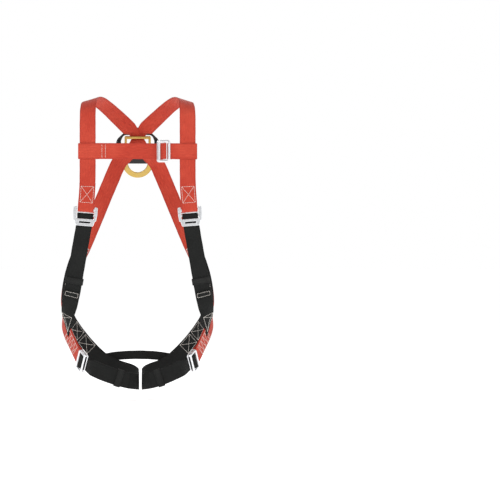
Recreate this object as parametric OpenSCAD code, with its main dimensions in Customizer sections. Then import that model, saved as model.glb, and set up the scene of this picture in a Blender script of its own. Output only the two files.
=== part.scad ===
// Full-body safety harness in the shape it has when worn.
// The wearer faces -Y, +X is the wearer's left and Z = 0 is the top of the shoulders.

/* [Webbing] */
// Width of the main webbing
web_w = 44.5; // [43:0.5:45.5]
// Thickness of the main webbing
web_t = 2.2; // [1.8:0.1:2.3]
// Width of the seat strap's webbing
seat_w = 25; // [20:1:30]
// Length of a keeper along its strap
keeper_len = 18; // [12:1:22]
// Thickness of a keeper's elastic
keeper_t = 1.8; // [1.2:0.1:2]

/* [Chest strap] */
// Height of the chest strap below the shoulders
chest_drop = 158; // [150:1:165]
// Distance of the chest buckle from the middle, towards the wearer's left
chest_buckle_x = 70; // [60:1:76]

/* [Buckles] */
// Outer length of a buckle across the webbing
buckle_w = 62; // [60:1:64]
// Outer size of the top plate along the webbing
plate_len = 35; // [34:1:36]
// Thickness of the buckle steel
buckle_t = 4; // [3.5:0.1:4]

/* [Torso adjusters] */
// Width of an adjuster across its ears
adjuster_w = 67; // [64:1:70]
// Diameter of an adjuster's top bar
top_bar_d = 7; // [6:0.1:7]
// Diameter of an adjuster's sliding bar
slide_bar_d = 6; // [5:0.1:6]

/* [Dorsal ring] */
// Radius of the ring's eye
eye_r = 28.5; // [27:0.5:29]
// Thickness of the ring
ring_t = 7.6; // [7:0.1:7.6]
// Diameter of the ring's top bar
ring_bar_d = 9; // [8:0.1:9]

/* [Hidden] */
$fn = 48;

red = [0.83, 0.3, 0.24];
black = [0.13, 0.13, 0.13];
steel = [0.85, 0.86, 0.87];
zinc = [0.76, 0.66, 0.36];

left = 1;
right = -1;

// Clearance between pieces that move past each other
gap = 0.3;
// Distance between the middles of two layers that lie together
layer = web_t + 0.4;
// Distance over which a turned-back layer closes up
closing = 30;

// Strap routes on the wearer's left: centre x, y, z, then the outward direction.
// Down the chest, from the crest of the shoulder to the torso adjuster.
chest_rows = [
    [128, -20, -8, 0.34, -0.08, 0.94],
    [136, -66, -17, 0.25, -0.5, 0.83],
    [139, -97, -42, 0.12, -0.93, 0.35],
    [139.5, -106.6, -80, 0.04, -1, 0.04],
    [139.5, -108.2, -120, 0, -1, 0.04],
    [139.5, -110.2, -170, 0, -1, 0.04],
    [139.5, -112.2, -220, 0, -1, 0.04],
    [140.5, -114, -265, 0, -1, 0.04],
    [145, -116, -322, 0, -1, 0.02]
];
// From the crest of the shoulder to the dorsal plate.
nape_rows = [
    [112, 22, -10, 0.3, 0.3, 0.9],
    [88, 54, -26, 0.18, 0.6, 0.78],
    [56, 82, -54, 0.1, 0.85, 0.5],
    [26, 98, -82, 0.03, 0.97, 0.25]
];
// Through the dorsal ring and down the back to the other hip's leg buckle.
back_rows = [
    [-9, 110.7, -98.5, 0, 0.99, 0.14],
    [2, 111.4, -114.5, 0, 0.99, 0.12],
    [14.5, 99.5, -137, 0, 0.99, -0.1],
    [33, 98.2, -159, 0, 0.99, 0.12],
    [55, 104, -184, 0.02, 0.99, 0.13],
    [80, 111, -240, 0.06, 1, 0.02],
    [107, 109, -305, 0.12, 0.98, -0.08],
    [131, 99, -364, 0.22, 0.96, -0.15],
    [154, 88, -420, 0.35, 0.93, -0.1],
    [176, 76, -470, 0.5, 0.86, 0],
    [194, 60, -515, 0.7, 0.7, 0.05],
    [207, 38, -560, 0.88, 0.47, 0.05],
    [213, 10, -603, 0.98, 0.15, 0],
    [209, -16, -638, 0.95, -0.3, 0],
    [198, -40, -668, 0.88, -0.45, 0],
    [183, -61, -699, 0.88, -0.46, 0],
    [164, -83, -737, 0.88, -0.46, 0]
];
// From the adjuster's sliding bar to the hip.
torso_rows = [
    [150.8, -102.4, -372, 0.02, -1, 0.02],
    [155.6, -104.6, -400, 0.04, -1, -0.05],
    [161, -106, -430, 0.08, -0.98, -0.15],
    [168, -98.5, -470, 0.12, -0.97, -0.18],
    [175, -91, -510, 0.12, -0.97, -0.18],
    [182, -83.5, -550, 0.15, -0.97, -0.18],
    [190.5, -70, -588, 0.2, -0.96, -0.18],
    [198.5, -55.6, -620, 0.62, -0.78, -0.1],
    [202.2, -40.4, -652, 0.89, -0.45, 0]
];
// Round the thigh, from the leg buckle to the hip.
thigh_rows = [
    [119, -112.5, -765.5, 0.25, -0.97, 0],
    [100, -113.3, -774.5, 0.04, -1, 0],
    [60, -108.5, -790.5, -0.08, -1, 0],
    [30, -102, -799, -0.15, -0.98, 0],
    [10, -80, -803, -0.75, -0.66, 0],
    [5, -45, -806, -1, 0, 0],
    [5, 0, -807, -1, 0, 0],
    [5, 45, -803, -1, 0, 0],
    [11, 80, -794, -0.75, 0.66, 0],
    [32, 103, -784, -0.12, 0.99, 0],
    [68, 115, -772, 0.02, 1, 0],
    [106, 119, -750, 0.05, 1, -0.05],
    [140, 114, -716, 0.35, 0.93, -0.1],
    [167, 98, -680, 0.65, 0.75, -0.05],
    [186, 76, -645, 0.85, 0.5, 0],
    [198, 54, -608, 0.92, 0.35, 0],
    [203, 38, -578, 0.9, 0.42, 0.05]
];
// Across the back of the thighs.
seat_rows = [
    [-112, 122, -750, -0.05, 1, -0.05],
    [-60, 126, -741, 0, 1, -0.05],
    [0, 124, -738, 0, 1, -0.05],
    [60, 126, -741, 0, 1, -0.05],
    [112, 122, -750, 0.05, 1, -0.05]
];
// The crotch lies this far towards the wearer's left
crotch_shift = 8;

function unit(v) = v / norm(v);
function place_of(row) = [row[0], row[1], row[2]];
function outward(row) = [row[3], row[4], row[5]];
function mirrored(rows, side) = [
    for (r = rows) [side * r[0], r[1], r[2], side * r[3], r[4], r[5]]
];
function shifted_x(rows, reach) = [
    for (r = rows) let (near = max(0, 1 - abs(r[0]) / reach))
        [r[0] + crotch_shift * near, r[1], r[2], r[3], r[4], r[5]]
];
function reversed(list) = [for (i = [len(list) - 1 : -1 : 0]) list[i]];
function row(rows, i) = rows[min(max(i, 0), len(rows) - 1)];
function smooth(u) = let (v = min(max(u, 0), 1)) v * v * (3 - 2 * v);

// A smooth curve through the rows, and its slope
function curve(a, b, c, d, u) = 0.5 * (2 * b + (c - a) * u
    + (2 * a - 5 * b + 4 * c - d) * u * u + (3 * b - a - 3 * c + d) * u * u * u);
function slope(a, b, c, d, u) = 0.5 * ((c - a)
    + 2 * (2 * a - 5 * b + 4 * c - d) * u + 3 * (3 * b - a - 3 * c + d) * u * u);

// A frame is [point, across, outward, along]
function frame_of(point, along, out) =
    let (t = unit(along), w = unit(cross(t, out))) [point, w, cross(w, t), t];
function frame_at(rows, t) =
    let (i = min(floor(t), len(rows) - 2), u = t - i)
    let (a = row(rows, i - 1), b = row(rows, i), c = row(rows, i + 1), d = row(rows, i + 2))
    let (p = curve(a, b, c, d, u), v = slope(a, b, c, d, u))
    frame_of(place_of(p), place_of(v), outward(p));
function frames_of(rows, first, last, per_row = 4) =
    let (n = ceil(abs(last - first) * per_row))
    [for (i = [0 : n]) frame_at(rows, first + (last - first) * i / n)];
function all_frames(rows) = frames_of(rows, 0, len(rows) - 1);
function raised(frames, h) = [for (f = frames) [f[0] + h * f[2], f[1], f[2], f[3]]];
function moved(f, across, out, along) =
    [f[0] + across * f[1] + out * f[2] + along * f[3], f[1], f[2], f[3]];

// The half circle round a bar: side -1 turns to the inner face, +1 to the outer face
function turn(f, side, r) = [
    for (a = [20 : 20 : 160])
        [f[0] + side * r * (1 - cos(a)) * f[2] + r * sin(a) * f[3], f[1],
            cos(a) * f[2] - side * sin(a) * f[3], f[3]]
];
// Sections that lean along the strap more and more towards its last frame
function slanted(frames, lean, reach) = let (end = frames[len(frames) - 1][0]) [
    for (f = frames)
        [f[0], f[1] + lean * smooth(1 - norm(f[0] - end) / reach) * f[3], f[2], f[3]]
];
// The layer that runs back along the route after a turn, closing up to lie on it
function turned_back(frames, side, r, hold = 0, over = closing) = [
    for (f = frames)
        let (d = norm(f[0] - frames[0][0]))
        let (h = 2 * r + (layer - 2 * r) * smooth((d - hold) / over))
        [f[0] + side * h * f[2], f[1], -f[2], -f[3]]
];

// A flat band of webbing swept along frames
module ribbon(frames, width = web_w, thick = web_t) {
    corners = [[-1, -1], [1, -1], [1, 1], [-1, 1]];
    n = len(frames);
    points = [
        for (f = frames) for (c = corners)
            f[0] + c[0] * width / 2 * f[1] + c[1] * (is_undef(f[4]) ? thick : f[4]) / 2 * f[2]
    ];
    sides = [
        for (i = [0 : 4 : 4 * n - 8]) for (k = [0 : 3])
            let (a = i + k, b = i + (k + 1) % 4)
            let (split = k < 2 ? [[a, b, b + 4], [a, b + 4, a + 4]]
                : [[a, b, a + 4], [b, b + 4, a + 4]])
            for (triangle = split) triangle
    ];
    last = 4 * n - 4;
    ends = [[2, 1, 0], [3, 2, 0], [last, last + 1, last + 2], [last, last + 2, last + 3]];
    polyhedron(points = points, faces = concat(sides, ends));
}

// Draws its children in a frame: x across the webbing, y along it, z outward
module in_frame(f) {
    multmatrix([
        [f[1][0], f[3][0], f[2][0], f[0][0]],
        [f[1][1], f[3][1], f[2][1], f[0][1]],
        [f[1][2], f[3][2], f[2][2], f[0][2]],
        [0, 0, 0, 1]
    ]) children();
}

// A rectangle with round corners
module rounded_box(w, l, h, r) {
    linear_extrude(h) rounded_outline(w, l, r);
}
module rounded_outline(w, l, r) {
    square([w - 2 * r, l], center = true);
    square([w, l - 2 * r], center = true);
    for (x = [-1, 1], y = [-1, 1])
        translate([x * (w / 2 - r), y * (l / 2 - r)]) circle(r);
}
// A round bar along x
module cross_bar(length, d) {
    rotate([0, 90, 0]) cylinder(d = d, h = length, center = true);
}
// A flat plate with its outer edges chamfered
module chamfered(w, l, h, r, c = 0.7) {
    translate([0, 0, -h / 2 + c]) rounded_box(w, l, h - 2 * c, r);
    translate([0, 0, -h / 2]) rounded_box(w - 2 * c, l - 2 * c, h, r - c);
}

// Shoulder straps: adjuster, shoulder, dorsal ring, opposite hip, leg buckle.

turn_r = top_bar_d / 2 + gap + web_t / 2;
frame_bar_d = 5;
frame_turn_r = frame_bar_d / 2 + gap + web_t / 2;
chest_end = len(chest_rows) - 1;
back_end = len(back_rows) - 1;

// The straps cross in the ring, one over the other, gathered level with the ring's bar
crossing_at = [0, 107, -122];
crossing_shift = web_t / 2 + 0.15;
gathered = 0.78;
function crossing(frames, side) = [
    for (f = frames)
        let (d = norm(f[0] - crossing_at), near = smooth((50 - d) / 30))
        let (w = (1 - near) * f[1] + near * gathered * [1, 0, 0], n = unit(cross(w, f[3])))
        [f[0] + side * crossing_shift * smooth((90 - d) / 40) * n, w, n, f[3]]
];
function main_rows(side) = concat(
    mirrored(reversed(chest_rows), side), mirrored(nape_rows, side), mirrored(back_rows, -side));
function main_frames(side) = crossing(all_frames(main_rows(side)), side);
function adjuster_end(side) = frame_at(mirrored(chest_rows, side), chest_end);
// The leg buckle stands askew on the strap's end, in line with the leg strap.
// The frame's across is longer than 1, since the strap lies on the bar at a slant.
askew = 0.36;
askew_reach = 55;
function buckle_end(side) =
    let (f = frame_at(mirrored(back_rows, side), back_end), lean = side * askew)
    [f[0], f[1] - lean * f[3], f[2], unit(f[3] + lean * f[1])];

// The same strip walked the other way
function flipped(frames) = reversed([for (f = frames) [f[0], -f[1], f[2], f[3]]]);

module shoulder_strap(side) {
    top = adjuster_end(side);
    chest = reversed(frames_of(mirrored(chest_rows, side), chest_end - 1.4, chest_end));
    foot = buckle_end(-side);
    to_bar = frames_of(mirrored(back_rows, -side), back_end - 2.2, back_end);
    hip = reversed(slanted(to_bar, side * askew, askew_reach));
    color(red) ribbon(concat(
        flipped(concat(turn(top, -1, turn_r), turned_back(chest, -1, turn_r))),
        slanted(main_frames(side), side * askew, askew_reach),
        turn(foot, -1, frame_turn_r),
        turned_back(hip, -1, frame_turn_r)
    ));
}

// Torso adjusters. The origin of an adjuster's frame is the middle of its top bar.

plate_back = -buckle_t / 2;
slide_y = 14;
slide_bar_length = 58;
slide_turn_r = slide_bar_d / 2 + gap + web_t / 2;
slide_z = plate_back - 1.5 - web_t / 2 - slide_turn_r;
function adjuster_frame(side) = moved(adjuster_end(side), 0, -turn_r, 0);

window_w = 49;
window_top = 8.6;
window_bottom = 25;
module both_corners(x, y, r) {
    for (side = [left, right]) translate([side * x, y]) circle(r);
}
module adjuster_outline() {
    ear = adjuster_w / 2;
    hull() {
        both_corners(ear - 4, -5, 4);
        both_corners(ear - 3, 9, 3);
        both_corners(ear - 5, 28, 3);
    }
    hull() {
        both_corners(ear - 8, 28, 3);
        both_corners(ear - 13, 41, 4);
    }
}
// From x to the other side, between two heights
module opening(x, first, last) {
    translate([-x, first]) square([2 * x, last - first]);
}
module adjuster_openings() {
    opening(window_w / 2, -10, -0.5);
    opening(window_w / 2, top_bar_d / 2 - 0.5, turn_r + web_t / 2 + 0.4);
    opening(window_w / 2, window_top, window_bottom);
    opening(16, window_bottom + 7.5, window_bottom + 12);
}
module torso_adjuster(side) {
    color(steel) in_frame(adjuster_frame(side)) {
        difference() {
            union() {
                translate([0, 0, plate_back + 0.7]) linear_extrude(buckle_t - 1.4)
                    adjuster_outline();
                translate([0, 0, plate_back]) linear_extrude(buckle_t)
                    offset(delta = -0.7) adjuster_outline();
            }
            translate([0, 0, -buckle_t]) linear_extrude(2 * buckle_t) adjuster_openings();
        }
        cross_bar(window_w + 1, top_bar_d);
    }
}
module adjuster_bar(side) {
    color(steel) in_frame(adjuster_frame(side))
        translate([0, slide_y, slide_z]) cross_bar(slide_bar_length, slide_bar_d);
}

// Torso straps: hip, up behind the adjuster, over its sliding bar, free tail in front.

tail_end = 7.35;
hem_start = 6.97;
// How far the strap's end is cut on the slant, for each unit across
end_slant = 0.84;
slant_reach = 60;
function behind_bar(side, down) =
    let (f = moved(adjuster_frame(side), 0, slide_z - slide_turn_r, slide_y + down))
    concat(f[0], f[2]);
function torso_route(side) =
    concat([behind_bar(side, 0), behind_bar(side, 18)], mirrored(torso_rows, side));
function tail_frames(side, first, last) = let (route = torso_route(side)) [
    for (f = frames_of(route, first, last))
        let (d = norm(f[0] - frame_at(route, 0)[0]))
        let (h = 2 * slide_turn_r + (layer - 2 * slide_turn_r) * smooth((d - 12) / 48))
        [f[0] + h * f[2], -f[1], -f[2], -f[3]]
];
module torso_strap(side) {
    route = torso_route(side);
    start = frame_at(route, 0);
    upward = [start[0], -start[1], start[2], -start[3]];
    hem = [for (f = tail_frames(side, hem_start + 0.01, tail_end))
        [f[0] - web_t * f[2], f[1], f[2], f[3], 3 * web_t]];
    color(black) ribbon(concat(
        flipped(slanted(all_frames(route), side * end_slant, slant_reach)),
        turn(upward, 1, slide_turn_r),
        tail_frames(side, 0, hem_start),
        hem
    ));
}

// Keepers: flat elastic loops round both layers of a strap.

keeper_slack = 1;
keeper_depth = web_t + layer + 2 * 0.7;
module keeper() {
    w = web_w + 2 * keeper_slack;
    color(black) rotate([90, 0, 0]) translate([0, 0, -keeper_len / 2]) difference() {
        rounded_box(w + 2 * keeper_t, keeper_depth + 2 * keeper_t, keeper_len, 2.2);
        translate([0, 0, -1]) rounded_box(w, keeper_depth, keeper_len + 2, 0.8);
    }
}
torso_keeper_row = 6.25;
module torso_keeper(side) {
    f = frame_at(torso_route(side), torso_keeper_row);
    in_frame(moved(f, 0, layer / 2, 0)) keeper();
}

// Pass-through buckles: a frame on one strap, a top plate on the other.
// Its origin lies between them; the plate hinges at y = hinge_y, z = hinge_z.

bar_y = -17;
window_end = 13;
lower_side = 4;
frame_z = -4;
plate_z = 1.2;
hinge_y = 10.2;
hinge_z = -1.1;
hinge_r = 1.5;
bend_y = 5.6;
bend_z = -0.9;
plate_mid = -3.5;
plate_bar_y = -6;
function buckle_frame_at(end) =
    moved([end[0], unit(end[1]), end[2], end[3]], 0, -frame_z - frame_turn_r, -bar_y);

module buckle_frame() {
    first = bar_y - frame_bar_d / 2;
    last = window_end + lower_side;
    window_w = 51;
    color(steel) translate([0, 0, frame_z]) {
        difference() {
            translate([0, (first + last) / 2, 0]) chamfered(buckle_w, last - first, buckle_t, 6);
            translate([-window_w / 2, first - 1, -buckle_t])
                cube([window_w, window_end - first + 1, 2 * buckle_t]);
        }
        translate([0, bar_y, 0]) cross_bar(window_w + 1, frame_bar_d);
    }
}
module buckle_plate() {
    window_w = 48;
    color(steel) translate([0, 0, plate_z + buckle_t / 2]) {
        translate([0, plate_mid, 0]) difference() {
            chamfered(buckle_w, plate_len, buckle_t, 7);
            translate([0, 0, -buckle_t])
                rounded_box(window_w, plate_len - 13, 2 * buckle_t, 3);
        }
        translate([0, plate_bar_y, 0]) cross_bar(window_w + 2, buckle_t - 0.5);
    }
}
module buckle_loop(colour) {
    bar_z = plate_z + buckle_t / 2;
    bar_r = buckle_t / 2 - 0.25;
    color(colour) rotate([90, 0, 90]) translate([0, 0, -web_w / 2]) linear_extrude(web_w)
        difference() {
            union() {
                hull() {
                    translate([plate_bar_y, bar_z]) circle(bar_r + gap + web_t);
                    translate([bend_y, bend_z]) circle(hinge_r);
                }
                hull() {
                    translate([bend_y, bend_z]) circle(hinge_r);
                    translate([hinge_y, hinge_z]) circle(hinge_r);
                }
            }
            hull() {
                translate([plate_bar_y, bar_z]) circle(bar_r + gap);
                translate([bend_y - 3, bend_z + 1.6]) circle(0.3);
            }
        }
}

// Leg straps: from the buckle, round the thigh, up to the hip.

function leg_buckle(side) = buckle_frame_at(buckle_end(side));
function leg_start(side, y, z) = moved(leg_buckle(side), 0, z, y);
function leg_route(side) =
    let (z = under_z - strap_r)
    let (a = leg_start(side, window_end, z), b = leg_start(side, window_end + 11, z - 0.8))
    concat(
        [concat(a[0], a[2]), concat(b[0], b[2])],
        shifted_x(mirrored(thigh_rows, side), 110)
    );
// Through the frame's window and round the edge of its lower side
under_z = frame_z - 2;
tail_r = 1.7;
strap_r = tail_r + layer;
function under_frame(side, r) = let (f = leg_start(side, window_end, under_z)) concat(
    [[f[0] - r * f[3] + 3 * f[2], f[1], -f[3], -f[2]]],
    [for (a = [0 : 22.5 : 67.5])
        [f[0] - r * cos(a) * f[3] - r * sin(a) * f[2], f[1],
            -cos(a) * f[3] - sin(a) * f[2], f[3]]]
);
function strap_layer(frames) = [for (f = frames) [f[0], f[1], -f[2], f[3]]];
module leg_strap(side) {
    color(black) ribbon(concat(
        strap_layer(under_frame(side, strap_r)),
        all_frames(leg_route(side))));
}
module leg_tail(side) {
    color(black) ribbon(concat(
        strap_layer(under_frame(side, tail_r)),
        raised(frames_of(leg_route(side), 0, 5), layer)));
}
leg_keeper_row = 4.1;
module leg_keeper(side) {
    f = frame_at(leg_route(side), leg_keeper_row);
    in_frame(moved(f, 0, layer / 2, 0)) keeper();
}

// Hip backing: a doubling layer under the shoulder strap, between its two stitched boxes.

backing_first = 8.3;
backing_last = 11.8;
module hip_backing(side) {
    frames = frames_of(mirrored(back_rows, side), backing_first, backing_last);
    color(black) ribbon([for (f = frames) moved(f, side * 4, -layer, 0)]);
}
module seat_strap() {
    color(black) ribbon(raised(all_frames(seat_rows), web_t), seat_w);
}

// Chest strap: each half loops round a shoulder strap. It lies along X.

chest_slope = 0.04;
chest_y = -110.2 + chest_slope * (170 - chest_drop);
chest_gap = 0.7;
chest_r = web_t + chest_gap;
chest_front = chest_y - chest_r;
chest_fold_x = 139.5 + web_w / 2 + 0.4;
chest_out = unit([0, -1, chest_slope]);
function chest_frame(x, side) =
    frame_of([x, chest_front, -chest_drop], [side, 0, 0], chest_out);
function chest_line(from, to, side, steps) = [
    for (i = [0 : steps]) chest_frame(from + (to - from) * i / steps, side)
];
function chest_loop(side, to) = concat(
    turn(chest_frame(side * chest_fold_x, side), -1, chest_r),
    turned_back(chest_line(side * chest_fold_x, to, side, 20), -1, chest_r, web_w + 2, 14)
);
chest_origin = frame_of(
    [chest_buckle_x, chest_front, -chest_drop] + 2.4 * chest_out, [-1, 0, 0], chest_out);
module chest_strap_left() {
    f = chest_origin;
    bar = moved(f, 0, frame_z + frame_turn_r, bar_y);
    color(red) ribbon(concat(
        flipped(concat(
            turn(bar, -1, frame_turn_r),
            turned_back([for (d = [0 : 3 : 9]) moved(bar, 0, 0, -d)], -1, frame_turn_r)
        )),
        [for (d = [0, 6]) moved([bar[0], -bar[1], bar[2], -bar[3]], 0, 0, d)],
        chest_line(chest_buckle_x + 30, chest_fold_x, 1, 10),
        chest_loop(1, chest_buckle_x + 30)
    ));
}
module chest_strap_right() {
    f = moved(chest_origin, 0, under_z, window_end);
    under = [for (a = [0 : 22.5 : 67.5])
        [f[0] - tail_r * cos(a) * f[3] - tail_r * sin(a) * f[2], f[1],
            cos(a) * f[3] + sin(a) * f[2], f[3]]];
    color(red) ribbon(concat(
        [[f[0] - tail_r * f[3] + 3 * f[2], f[1], f[3], f[2]]],
        under,
        [for (d = [0, 8]) moved(f, 0, -tail_r, d)],
        chest_line(chest_buckle_x - 40, -chest_fold_x, -1, 18),
        chest_loop(-1, -chest_fold_x + web_w + 32)
    ));
}

// Dorsal plate and ring. Their frame: x to the wearer's right, y down, z outward,
// with the origin in the middle of the ring's top bar.

dorsal = frame_of([0, 104, -109], [0, 0.148, -0.989], [0, 0.989, 0.148]);
eye_y = 72;
eye_rim = 16;
arm_x = 38;
arm_w = 7;
arm_end = 30;

module ring_outline() {
    top_r = 4;
    hull() {
        translate([0, eye_y]) circle(eye_r + eye_rim, $fn = 96);
        opening(arm_x, arm_end - 4, arm_end);
    }
    hull() {
        both_corners(arm_x - top_r, top_r - ring_bar_d / 2, top_r);
        opening(arm_x, arm_end - 4, arm_end);
    }
}
module dorsal_ring() {
    chamfer = 1.2;
    color(zinc) in_frame(dorsal) {
        difference() {
            union() {
                translate([0, 0, chamfer - ring_t / 2]) linear_extrude(ring_t - 2 * chamfer)
                    ring_outline();
                translate([0, 0, -ring_t / 2]) linear_extrude(ring_t)
                    offset(delta = -chamfer) ring_outline();
            }
            translate([0, eye_y, -ring_t]) cylinder(r = eye_r, h = 2 * ring_t);
            translate([0, arm_end / 2, -ring_t])
                rounded_box(2 * (arm_x - arm_w), arm_end + 9, 2 * ring_t, 3);
        }
        cross_bar(2 * (arm_x - 5), ring_bar_d);
    }
}

// The plate is an arch over the straps, on two posts that stand on a base behind them.
plate_t = 3;
wing_x = 62;
post_x = 48;
post_top = 12;
post_end = 30;
arch_z = 11.6;
base_z = -7.4;
// An outline from its half, given from the top down
function whole(half) = concat(half, reversed([for (p = half) [-p[0], p[1]]]));
module dorsal_plate() {
    arch = [[24, -28], [wing_x, 8], [wing_x, post_end], [post_x, post_end], [post_x, 10], [41, -6]];
    base = [[wing_x, post_top], [wing_x, 34], [40, 75]];
    base_window = [[post_x, 0], [post_x, 36], [36, 45]];
    color(black) in_frame(dorsal) {
        translate([0, 0, arch_z]) linear_extrude(plate_t) polygon(whole(arch));
        for (x = [-wing_x, post_x])
            translate([x, post_top, base_z])
                cube([wing_x - post_x, post_end - post_top, arch_z - base_z + 1]);
        translate([0, 0, base_z]) linear_extrude(plate_t) difference() {
            polygon(whole(base));
            polygon(whole(base_window));
        }
    }
}

shoulder_strap(left);  // shoulder_strap_left
shoulder_strap(right);  // shoulder_strap_right
chest_strap_left();
chest_strap_right();
in_frame(chest_origin) buckle_frame();  // chest_buckle_frame
in_frame(chest_origin) buckle_plate();  // chest_buckle_plate
in_frame(chest_origin) buckle_loop(red);  // chest_buckle_loop
torso_adjuster(left);  // torso_adjuster_left
torso_adjuster(right);  // torso_adjuster_right
adjuster_bar(left);  // adjuster_bar_left
adjuster_bar(right);  // adjuster_bar_right
torso_strap(left);  // torso_strap_left
torso_strap(right);  // torso_strap_right
torso_keeper(left);  // torso_keeper_left
torso_keeper(right);  // torso_keeper_right
hip_backing(left);  // hip_backing_left
hip_backing(right);  // hip_backing_right
leg_strap(left);  // leg_strap_left
leg_strap(right);  // leg_strap_right
leg_tail(left);  // leg_tail_left
leg_tail(right);  // leg_tail_right
leg_keeper(left);  // leg_keeper_left
leg_keeper(right);  // leg_keeper_right
in_frame(leg_buckle(left)) buckle_frame();  // leg_buckle_frame_left
in_frame(leg_buckle(right)) buckle_frame();  // leg_buckle_frame_right
in_frame(leg_buckle(left)) buckle_plate();  // leg_buckle_plate_left
in_frame(leg_buckle(right)) buckle_plate();  // leg_buckle_plate_right
in_frame(leg_buckle(left)) buckle_loop(black);  // leg_buckle_loop_left
in_frame(leg_buckle(right)) buckle_loop(black);  // leg_buckle_loop_right
seat_strap();
dorsal_plate();
dorsal_ring();
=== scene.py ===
"""Full-body safety harness, held in the shape it has when worn.

The frame is the CAD model's: metres, the wearer faces -Y, +X is the wearer's left, and Z = 0 is the
top of the shoulders.
"""
import math
import random

import bpy
import numpy as np
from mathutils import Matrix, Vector


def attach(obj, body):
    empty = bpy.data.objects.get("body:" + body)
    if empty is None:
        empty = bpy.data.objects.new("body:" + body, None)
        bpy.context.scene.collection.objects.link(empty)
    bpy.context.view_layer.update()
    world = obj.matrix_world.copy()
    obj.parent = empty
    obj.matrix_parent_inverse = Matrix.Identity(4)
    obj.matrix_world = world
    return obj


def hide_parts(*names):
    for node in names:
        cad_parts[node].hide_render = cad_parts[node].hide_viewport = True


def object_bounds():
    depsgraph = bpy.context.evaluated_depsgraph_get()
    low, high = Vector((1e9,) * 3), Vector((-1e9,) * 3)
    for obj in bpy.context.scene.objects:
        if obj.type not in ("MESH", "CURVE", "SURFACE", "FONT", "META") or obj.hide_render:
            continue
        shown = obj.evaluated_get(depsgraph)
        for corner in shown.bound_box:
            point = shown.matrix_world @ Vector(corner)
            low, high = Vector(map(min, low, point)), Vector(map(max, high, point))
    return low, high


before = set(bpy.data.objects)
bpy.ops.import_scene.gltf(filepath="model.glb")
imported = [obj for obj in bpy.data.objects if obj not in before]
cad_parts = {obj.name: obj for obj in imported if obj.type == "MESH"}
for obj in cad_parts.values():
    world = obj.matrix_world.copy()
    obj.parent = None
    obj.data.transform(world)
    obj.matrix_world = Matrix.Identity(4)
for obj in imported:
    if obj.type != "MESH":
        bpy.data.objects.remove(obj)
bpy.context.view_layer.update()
MM = 0.001
LEFT, RIGHT = 1, -1
SIDE_NAMES = {LEFT: "left", RIGHT: "right"}

# ---------------------------------------------------------------- camera

SENSOR = 36.0
VIEW_WIDTH = 1.4
CAMERA_DISTANCE = 6.0
FRONT_Y = -0.11
VIEW_X = 0.314
VIEW_Z = -0.434


def stand(made, place, target):
    """Puts a camera or a lamp in the scene, pointed at the target."""
    bpy.context.scene.collection.objects.link(made)
    made.location = place
    made.rotation_mode = "QUATERNION"
    made.rotation_quaternion = (Vector(target) - made.location).to_track_quat("-Z", "Y")


def make_camera():
    """Straight in front of the harness and turned aside, so that it stands left of the middle."""
    data = bpy.data.cameras.new("camera")
    data.sensor_width = SENSOR
    data.lens = SENSOR * math.hypot(CAMERA_DISTANCE, VIEW_X) / VIEW_WIDTH
    data.clip_start, data.clip_end = 0.1, 200.0
    camera = bpy.data.objects.new("camera", data)
    stand(camera, (0.0, FRONT_Y - CAMERA_DISTANCE, VIEW_Z), (VIEW_X, FRONT_Y, VIEW_Z))
    bpy.context.scene.camera = camera


make_camera()

# ---------------------------------------------------------------- sizes of the webbing, as in the CAD

WEB_W, WEB_T, SEAT_W = 44.5 * MM, 2.2 * MM, 25 * MM
GAP, LAYER, CLOSING = 0.3 * MM, 2.6 * MM, 30 * MM
KEEPER_LEN, KEEPER_T, KEEPER_SLACK = 18 * MM, 1.8 * MM, 1 * MM

# Routes on the wearer's left: centre, then the outward direction.
CHEST_ROWS = [
    (0.128, -0.020, -0.008, 0.34, -0.08, 0.94),
    (0.136, -0.066, -0.017, 0.25, -0.5, 0.83),
    (0.139, -0.097, -0.042, 0.12, -0.93, 0.35),
    (0.1395, -0.1066, -0.080, 0.04, -1, 0.04),
    (0.1395, -0.1082, -0.120, 0, -1, 0.04),
    (0.1395, -0.1102, -0.170, 0, -1, 0.04),
    (0.1395, -0.1122, -0.220, 0, -1, 0.04),
    (0.1405, -0.114, -0.265, 0, -1, 0.04),
    (0.145, -0.116, -0.322, 0, -1, 0.02),
]
NAPE_ROWS = [
    (0.112, 0.022, -0.010, 0.3, 0.3, 0.9),
    (0.088, 0.054, -0.026, 0.18, 0.6, 0.78),
    (0.056, 0.082, -0.054, 0.1, 0.85, 0.5),
    (0.026, 0.098, -0.082, 0.03, 0.97, 0.25),
]
BACK_ROWS = [
    (-0.009, 0.1107, -0.0985, 0, 0.99, 0.14),
    (0.002, 0.1114, -0.1145, 0, 0.99, 0.12),
    (0.0145, 0.0995, -0.137, 0, 0.99, -0.1),
    (0.033, 0.0982, -0.159, 0, 0.99, 0.12),
    (0.055, 0.104, -0.184, 0.02, 0.99, 0.13),
    (0.080, 0.111, -0.240, 0.06, 1, 0.02),
    (0.107, 0.109, -0.305, 0.12, 0.98, -0.08),
    (0.131, 0.099, -0.364, 0.22, 0.96, -0.15),
    (0.154, 0.088, -0.420, 0.35, 0.93, -0.1),
    (0.176, 0.076, -0.470, 0.5, 0.86, 0),
    (0.194, 0.060, -0.515, 0.7, 0.7, 0.05),
    (0.207, 0.038, -0.560, 0.88, 0.47, 0.05),
    (0.213, 0.010, -0.603, 0.98, 0.15, 0),
    (0.209, -0.016, -0.638, 0.95, -0.3, 0),
    (0.198, -0.040, -0.668, 0.88, -0.45, 0),
    (0.183, -0.061, -0.699, 0.88, -0.46, 0),
    (0.164, -0.083, -0.737, 0.88, -0.46, 0),
]
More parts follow.
